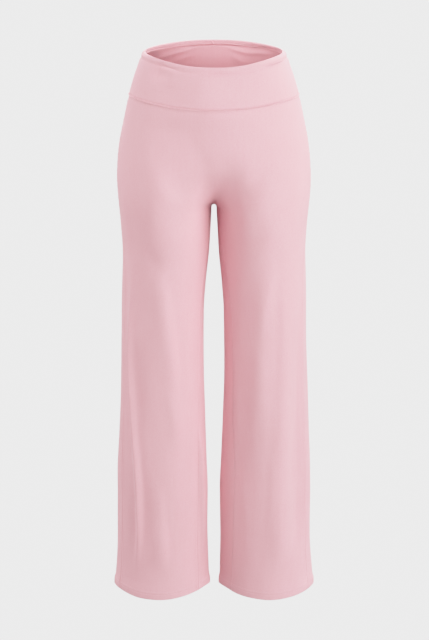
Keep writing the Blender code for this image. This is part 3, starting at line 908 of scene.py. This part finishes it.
def makeBand(name, part):
    levels = bandDrops()
    drop = levels[:, None]
    whole, across = ringGrid(levels, part)
    x = whole[..., 0]
    height = creaseHeight(whole, creases)
    rolled = roundEdge(drop, band["rollRadius"])
    inRoll = 1 - smoothStep((drop - band["rollDepth"]) / band["rollEnd"])
    thick = cut["cloth"] + (2 * band["rollRadius"] - cut["cloth"]) * inRoll
    uneven = 1 + sum(share * np.sin(x * k + phase) for share, k, phase in band["troughUneven"])
    outer = height - rolled + swells(drop, band["trough"]) * uneven
    outer += swells(drop, band["roll"]) + swells(drop - cut["bandSeam"], *band["atSeam"])
    for line in (whole[:, 0], whole[:, -1]):
        groove = swells(distanceTo(line, whole), *seam["bandProfile"])
        outer += groove * smoothStep(drop / band["seamStart"])
    inner = height * smoothStep(drop / band["creaseStart"]) + rolled - thick
    inner -= swells(drop, *band["elastic"])
    if part == "back":
        inner -= swells(drop, band["lip"]) * (1 - bump(x, 0, band["lipPause"]))
        inner -= creaseHeight(whole, centreFold)
    thinnest = band["thinnest"] * smoothStep(drop / band["thinnestFrom"]) + band["thinnestRim"]
    inner = np.minimum(inner, outer - thinnest)
    outer, inner = layers(whole, easedGrid(whole, [0, -1], -1), outer, inner)
    faces = quads(np.arange(across.size).reshape(across.shape), True)
    return clothShell(name, outer, inner, clothMap(across, levels), faces, bandMaterial)


bandFront = makeBand("waistbandFront", "front")
bandBack = makeBand("waistbandBack", "back")

facing = {
    "away": 0.0015,  # from the outer layer's face to the facing's
    "top": 0.0101,
    "topSteps": (0, 0.0004, 0.0009, 0.0015, 0.0023, 0.0033, 0.0046, 0.0064),
    "rows": 30,
    "dip": (0.0012, 0.0118, 0.0045),  # height, drop and width of its dent at the centre
    "dipAcross": 0.035,
}

# here height is how far a fold stands into the waist
facingCreases = creaseRows(
    "back",
    (((-114, 25), (-92, 20.5), (-64, 15), (-22, 6.6)), (5, 4, 3), 0.4, 0.3),
    (((16, 6.6), (40, 11.5), (64, 15.8), (94, 14.8), (114, 15)), (5, 3.6, 3.2), 0.3),
    (((-88, 36), (-56, 26.5), (-30, 16.5)), (6, 5, 1.8), 0.4),
    (((26, 18), (46, 30), (66, 40)), (6, 5, 1.8), 0.4),
    (((-60, 60), (-20, 54), (30, 58)), (7, 8, 1.2), 0.4),
)


def makeFacing():
    steps = facing["top"] + np.array(facing["topSteps"])
    rest = np.linspace(steps[-1], cut["bandSeam"], facing["rows"])
    levels = np.concatenate([steps[:-1], rest])
    front, frontAcross = ringGrid(levels, "front")
    back, backAcross = ringGrid(levels, "back")
    whole = np.concatenate([front[:, :-1], back[:, :-1]], axis=1)
    whole[-1] = drawnIn(whole[-1], whole[-2])
    # the cloth's map runs on from the front round to the centre back
    side = np.where(backAcross < 0, -1, 1)
    backAcross = backAcross + side * (frontAcross[:, :1] - np.abs(backAcross[:, :1]))
    across = np.concatenate([frontAcross[:, :-1], backAcross[:, :-1]], axis=1)
    height = creaseHeight(whole, creases) - creaseHeight(whole, facingCreases)
    height -= swells(levels[:, None], facing["dip"]) * bump(whole[..., 0], 0, facing["dipAcross"])
    edge = roundEdge(levels[:, None] - levels[0], cut["cloth"] / 2)
    outer = height - facing["away"] - edge
    outer, inner = layers(whole, whole, outer, outer - cut["cloth"] + 2 * edge)
    index = np.arange(across.size).reshape(across.shape)
    faces = quads(np.concatenate([index, index[:, :1]], axis=1), True)
    uv = clothMap(across, levels)
    return clothShell("waistbandInner", outer, inner, uv, faces, facingMaterial)


facingPiece = makeFacing()

stitch = {
    "length": 0.0024,
    "pitch": 0.0029,
    "sides": 6,
    "lift": 0.0001,
    "cuts": (-0.36, -0.18, 0.18, 0.36),  # where it bends, in shares of its length
    "thinner": 0.45,  # share of its thickness that it loses toward its ends
    "dip": 0.00034,  # depth to which its ends go down into the cloth
}


def stitchMesh():
    # one short stitch, modelled once: a thread that dips into the cloth at both ends
    bpy.ops.mesh.primitive_cylinder_add(
        vertices=stitch["sides"], radius=thread["radius"], depth=stitch["length"],
        end_fill_type="TRIFAN", rotation=(0, math.pi / 2, 0))
    model = bpy.context.object
    bpy.ops.object.transform_apply(location=False, rotation=True, scale=False)
    bpy.ops.object.mode_set(mode="EDIT")
    for place in stitch["cuts"]:
        bpy.ops.mesh.select_all(action="SELECT")
        bpy.ops.mesh.bisect(plane_co=(place * stitch["length"], 0, 0), plane_no=(1, 0, 0))
    bpy.ops.object.mode_set(mode="OBJECT")
    points = np.array([v.co[:] for v in model.data.vertices])
    faces = [tuple(p.vertices) for p in model.data.polygons]
    bpy.data.objects.remove(model)
    share = np.abs(points[:, 0]) / (stitch["length"] / 2)
    points[:, 1:] *= (1 - stitch["thinner"] * share**4)[:, None]
    points[:, 2] -= stitch["dip"] * share**3
    return points, faces


stitchPoints, stitchFaces = stitchMesh()


def stitchRow(line):
    # stitches along a line on the cloth, each turned to follow it
    length = lengthAlong(line)
    count = max(int(length[-1] // stitch["pitch"]), 2)
    at = (np.arange(count) + 0.5) * length[-1] / count
    centre, up = readAt(at, length, line), readAt(at, length, outward(line))
    up /= np.linalg.norm(up, axis=1, keepdims=True)
    ahead = np.gradient(centre, axis=0)
    ahead -= up * (ahead * up).sum(axis=1, keepdims=True)
    ahead /= np.linalg.norm(ahead, axis=1, keepdims=True)
    axes = np.stack([ahead, np.cross(up, ahead), up], axis=1)
    return (centre + up * stitch["lift"])[:, None, :] + stitchPoints @ axes


def joinedStitches(name, rows):
    copies = np.concatenate(rows)
    count, size = copies.shape[:2]
    faces = [tuple(v + i * size for v in face) for i in range(count) for face in stitchFaces]
    around = np.arctan2(stitchPoints[:, 2], stitchPoints[:, 1]) / (2 * math.pi)
    uv = np.tile(np.stack([around, stitchPoints[:, 0]], axis=-1), (count, 1))
    print(name, count, "stitches")
    return addPiece(name, copies.reshape(-1, 3), faces, uv, seamThread)


hemRows = [int(np.argmin(np.abs(drops - (cut["hem"] - up)))) for up in panel["hemRows"]]
panelFaces = (*frontFaces, backLeftFace, backRightFace)
hemStitches = joinedStitches(
    "hemStitches", [stitchRow(face[row]) for face in panelFaces for row in hemRows])

# each piece with its node and slot, flat size, how it is held and what it rests on
pieces = (
    (frontPanel, "front", (0.58, 0.99), "hung", "waistbandFront"),
    (backLeft, "back_left", (0.35, 1.03), "hung", "waistbandBack"),
    (backRight, "back_right", (0.35, 1.03), "hung", "waistbandBack"),
    (bandFront, "waistband_front", (0.44, 0.1), "stretched", "waistbandInner"),
    (bandBack, "waistband_back", (0.435, 0.1), "stretched", "waistbandInner"),
    (facingPiece, "waistband_facing", (0.845, 0.08), "stretched", "waistbandFront"),
)
for piece, node, flat, held, restsOn in pieces:
    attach(piece, "root")
    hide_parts(node)
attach(hemStitches, "root")

studio = {
    "backdrop": 0.845,
    "floorDrop": -6.0,
    "fill": 0.01,  # light from all round
    "distance": 3.0,
    "middle": (0.0, 0.0, -0.45),
    "spotDistance": 1.6,
}

# azimuth is measured from the camera's side toward the left leg. Lights for the outside
# and for the inside of the waist are kept apart, as cards beside a camera keep them.
Lamp = namedtuple("Lamp", "name azimuth elevation width height power reach")
lamps = (
    Lamp("keyLight", 42, 28, 1.6, 1.8, 73, "outside"),
    Lamp("fillLight", -55, 22, 1.8, 1.8, 22, "outside"),
    Lamp("sideLight", -90, 28, 1.6, 2.2, 33, "outside"),
    Lamp("backLightLeft", -125, 32, 1.6, 1.8, 17, "all"),
    Lamp("backLightRight", 130, 38, 1.6, 1.8, 49, "all"),
    Lamp("backLightTop", 180, 55, 1.8, 1.8, 70, "all"),
    Lamp("lowLightRight", 58, -28, 1.8, 1.8, 36, "outside"),
    Lamp("lowLightLeft", -60, -28, 1.8, 1.8, 21, "outside"),
    Lamp("insideLight", -5, 8, 1.8, 1.8, 122, "inside"),
)
# small soft lights: two from above for the inside of the waist, and one from low in front
# for the inner thighs
Spot = namedtuple("Spot", "name azimuth elevation middle target angle size power reach")
waist, insideBack, groin = (0, 0.05, -0.03), (0, 0.08, -0.03), (-0.04, -0.1, -0.325)
spots = (
    Spot("waistLight", 8, 60, waist, insideBack, 15, 0.15, 19, "inside"),
    Spot("waistLightLeft", -50, 55, waist, insideBack, 15, 0.15, 13, "inside"),
    Spot("groinLight", 12, -30, groin, groin, 12, 0.3, 24, "outside"),
)


def pale(shader, kind, strength):
    return shader.node(kind, {}, {"Color": (1, 1, 1, 1), "Strength": strength})


ground = Shader(bpy.data.materials.new("paleFloor"))
glow = pale(ground, "ShaderNodeEmission", studio["backdrop"])
bpy.ops.mesh.primitive_plane_add(size=60, location=(0, 0, studio["floorDrop"]))
floor = bpy.context.object
floor.name = "studioFloor"
floor.data.materials.append(ground.finish("Material Output", {"Surface": glow}))
floor.visible_diffuse = floor.visible_glossy = floor.visible_shadow = False

# the camera sees the backdrop, and the garment is lit by the fill
sky = Shader(bpy.data.worlds.new("studioWorld"))
lit = pale(sky, "ShaderNodeBackground", studio["fill"])
seen = pale(sky, "ShaderNodeBackground", studio["backdrop"])
isSeen = sky.node("ShaderNodeLightPath", output="Is Camera Ray")
mixed = sky.node("ShaderNodeMixShader", {}, {0: isSeen, 1: lit, 2: seen})
scene.world = sky.finish("World Output", {"Surface": mixed})

receivers = {
    "outside": bpy.data.collections.new("litOutside"),
    "inside": bpy.data.collections.new("litInside"),
}
for piece in (frontPanel, backLeft, backRight, bandFront, bandBack, hemStitches):
    receivers["outside"].objects.link(piece)
receivers["inside"].objects.link(facingPiece)


def aimed(name, data, azimuth, elevation, distance, middle, target):
    # a lamp or camera placed away from the middle and turned toward the target
    a, e = math.radians(azimuth), math.radians(elevation)
    step = Vector((math.sin(a) * math.cos(e), -math.cos(a) * math.cos(e), math.sin(e)))
    item = bpy.data.objects.new(name, data)
    item.location = Vector(middle) + step * distance
    item.rotation_euler = (Vector(target) - item.location).to_track_quat("-Z", "Y").to_euler()
    scene.collection.objects.link(item)
    return item


def addLight(lamp, kind, distance, middle, target):
    data = bpy.data.lights.new(lamp.name, kind)
    data.energy = lamp.power
    light = aimed(lamp.name, data, lamp.azimuth, lamp.elevation, distance, middle, target)
    if lamp.reach in receivers:
        light.light_linking.receiver_collection = receivers[lamp.reach]
    return data


for lamp in lamps:
    data = addLight(lamp, "AREA", studio["distance"], studio["middle"], studio["middle"])
    data.shape, data.size, data.size_y = "RECTANGLE", lamp.width, lamp.height
for spot in spots:
    data = addLight(spot, "SPOT", studio["spotDistance"], spot.middle, spot.target)
    data.spot_size, data.spot_blend = math.radians(spot.angle), 1.0
    data.shadow_soft_size = spot.size

# the photograph's viewpoint
view = {
    "elevation": 14.5,
    "distance": 5.0,
    "aim": (0.0011, 0, -0.5145),
    "sensor": 36,
    "focal": 2637,  # focal length and half the photograph's height, both in its pixels
    "halfHeight": 320,
}
lens = bpy.data.cameras.new("photoCamera")
lens.sensor_width = view["sensor"]
lens.lens = view["sensor"] / 2 / (view["halfHeight"] / view["focal"])
scene.camera = aimed(
    "photoCamera", lens, 0, view["elevation"], view["distance"], view["aim"], view["aim"])
look = scene.view_settings
look.view_transform = "Standard"

# the photograph's contrast: soft in the lights, steeper below them
tone = (
    (0.0, 0.0), (0.125, 0.222), (0.25, 0.388), (0.375, 0.53), (0.5, 0.652),
    (0.65, 0.742), (0.8, 0.816), (1.0, 0.885), (1.3, 0.918), (1.8, 0.95))
look.use_curve_mapping = True
curves = look.curve_mapping
curves.use_clip = False
curve = curves.curves[3]
curve.points[0].location, curve.points[1].location = tone[0], tone[-1]
for x, y in tone[1:-1]:
    curve.points.new(x, y)
curves.update()

print("scene done")
